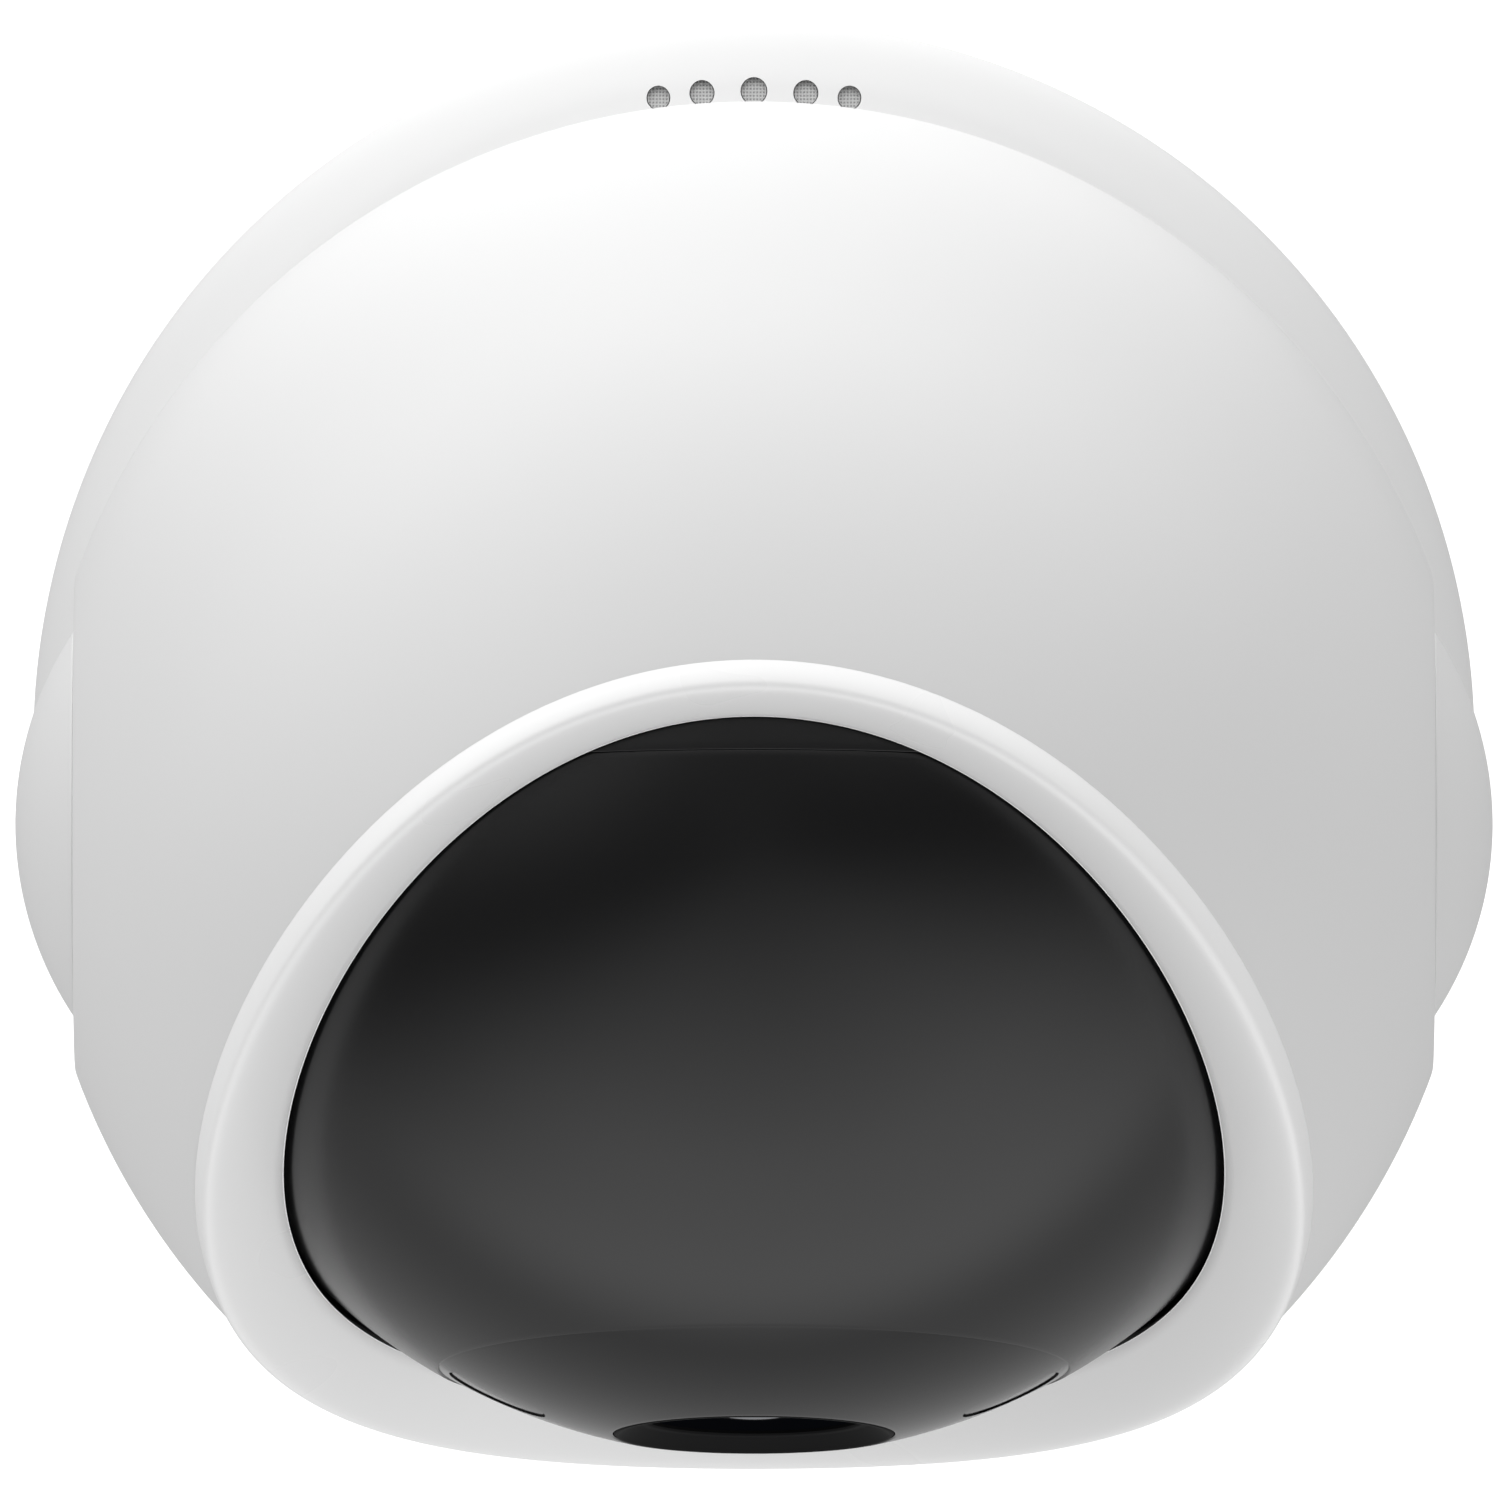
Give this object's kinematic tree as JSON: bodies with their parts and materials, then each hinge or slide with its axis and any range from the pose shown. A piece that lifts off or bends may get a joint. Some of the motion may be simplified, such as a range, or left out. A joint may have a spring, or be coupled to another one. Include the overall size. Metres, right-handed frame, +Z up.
{
  "type": "pan-tilt home security camera",
  "caption": "Round flared base, flat-sided spherical white head that pans, and a gloss black ball with the lens that tilts in a rounded opening.",
  "frame": {"origin": "bottom centre of the rubber foot ring, on the pan axis", "axes": "+Z up along the pan axis, -Y the way the lens faces, +X to the right when seen from above with the lens towards the viewer's feet"},
  "size_m": [0.0866, 0.0862, 0.118],
  "materials": {
    "white_shell": "satin white ABS",
    "white_gloss": "semi-gloss white ABS",
    "base_plate": "matte white ABS",
    "foot_rubber": "grey silicone rubber",
    "steel_screw": "zinc-plated steel",
    "acetal": "natural acetal",
    "motor_steel": "drawn plated steel",
    "shaft_steel": "ground steel",
    "circuit_board": "green solder mask",
    "socket_metal": "nickel-plated steel",
    "speaker_black": "black glass-filled nylon",
    "mesh_grey": "grey woven acoustic mesh",
    "frame_grey": "grey glass-filled nylon",
    "ball_black": "gloss black ABS",
    "face_black": "gloss dark acrylic",
    "ir_window": "infrared-passing dark acrylic",
    "bezel_black": "matte black",
    "lens_glass": "coated glass",
    "led": "clear epoxy",
    "light_pipe": "clear acrylic",
    "heat_aluminium": "plain aluminium sheet",
    "antenna_flex": "black flexible circuit",
    "card_black": "matte black",
    "button_black": "matte black"
  },
  "bodies": {
    "base": {"base_shell": "white_shell", "base_plate": "base_plate", "foot_ring": "foot_rubber", "base_screw_1": "steel_screw", "base_screw_2": "steel_screw", "base_screw_3": "steel_screw", "pan_bearing": "acetal", "pan_motor": "motor_steel", "pan_motor_screw_1": "steel_screw", "pan_motor_screw_2": "steel_screw", "base_board": "circuit_board", "power_socket": "socket_metal", "speaker": "speaker_black", "speaker_mesh": "mesh_grey"},
    "head": {"head_upper_shell": "white_shell", "head_lower_shell": "white_shell", "eye_rim": "white_gloss", "side_cap_left": "white_shell", "side_cap_right": "white_shell", "pivot_pin_left": "frame_grey", "pivot_pin_right": "frame_grey", "turntable": "frame_grey", "turntable_screw_1": "steel_screw", "turntable_screw_2": "steel_screw", "turntable_screw_3": "steel_screw", "pan_gear": "acetal", "pan_retaining_ring": "frame_grey", "tilt_sun_gear": "acetal"},
    "ball": {"ball_front_shell": "ball_black", "ball_rear_shell": "ball_black", "face_cover": "face_black", "ir_window_left": "ir_window", "ir_window_right": "ir_window", "ball_frame": "frame_grey", "tilt_bush_left": "acetal", "tilt_bush_right": "acetal", "tilt_motor": "motor_steel", "tilt_motor_screw_1": "steel_screw", "tilt_motor_screw_2": "steel_screw", "lens_bezel": "bezel_black", "lens_glass": "lens_glass", "lens_barrel": "bezel_black", "lens_holder": "bezel_black", "sensor_board": "circuit_board", "main_board": "circuit_board", "heat_plate": "heat_aluminium", "ir_board": "circuit_board", "ir_led_left": "led", "ir_led_right": "led", "status_light_pipe": "light_pipe", "microsd_socket": "socket_metal", "wifi_antenna": "antenna_flex"},
    "pan_drive": {"pan_pinion": "acetal", "pan_motor_shaft": "shaft_steel"},
    "tilt_drive": {"tilt_pinion": "acetal", "tilt_motor_shaft": "shaft_steel"},
    "memory_card": {"microsd_card": "card_black"},
    "reset": {"reset_button": "button_black"}
  },
  "joints": [
    {"name": "head_pan", "type": "hinge", "parent": "base", "child": "head", "pos_m": [0, 0, 0.0317], "axis": [0, 0, 1], "range_deg": [-175, 175]},
    {"name": "ball_tilt", "type": "hinge", "parent": "head", "child": "ball", "pos_m": [0, 0, 0.0765], "axis": [-1, 0, 0], "range_deg": [-20, 78]},
    {"name": "pan_pinion_spin", "type": "hinge", "parent": "base", "child": "pan_drive", "pos_m": [0.01865, 0, 0.0225], "axis": [0, 0, 1], "range_deg": [-620, 620]},
    {"name": "tilt_pinion_spin", "type": "hinge", "parent": "ball", "child": "tilt_drive", "pos_m": [0.0288, 0.01228, 0.07389], "axis": [-1, 0, 0], "range_deg": [-60, 210]},
    {"name": "card_slide", "type": "slide", "parent": "ball", "child": "memory_card", "axis": [0, -0.2079, -0.9781], "range_m": [0, 0.0016]},
    {"name": "reset_press", "type": "slide", "parent": "ball", "child": "reset", "axis": [0, 0.2079, 0.9781], "range_m": [0, 0.0005], "stiffness_N_per_m": 400, "springref_m": -0.0005}
  ],
  "couplings": [
    {"joint": "pan_pinion_spin", "follows": "head_pan", "ratio": -3.4286},
    {"joint": "tilt_pinion_spin", "follows": "ball_tilt", "ratio": 2.5714}
  ]
}
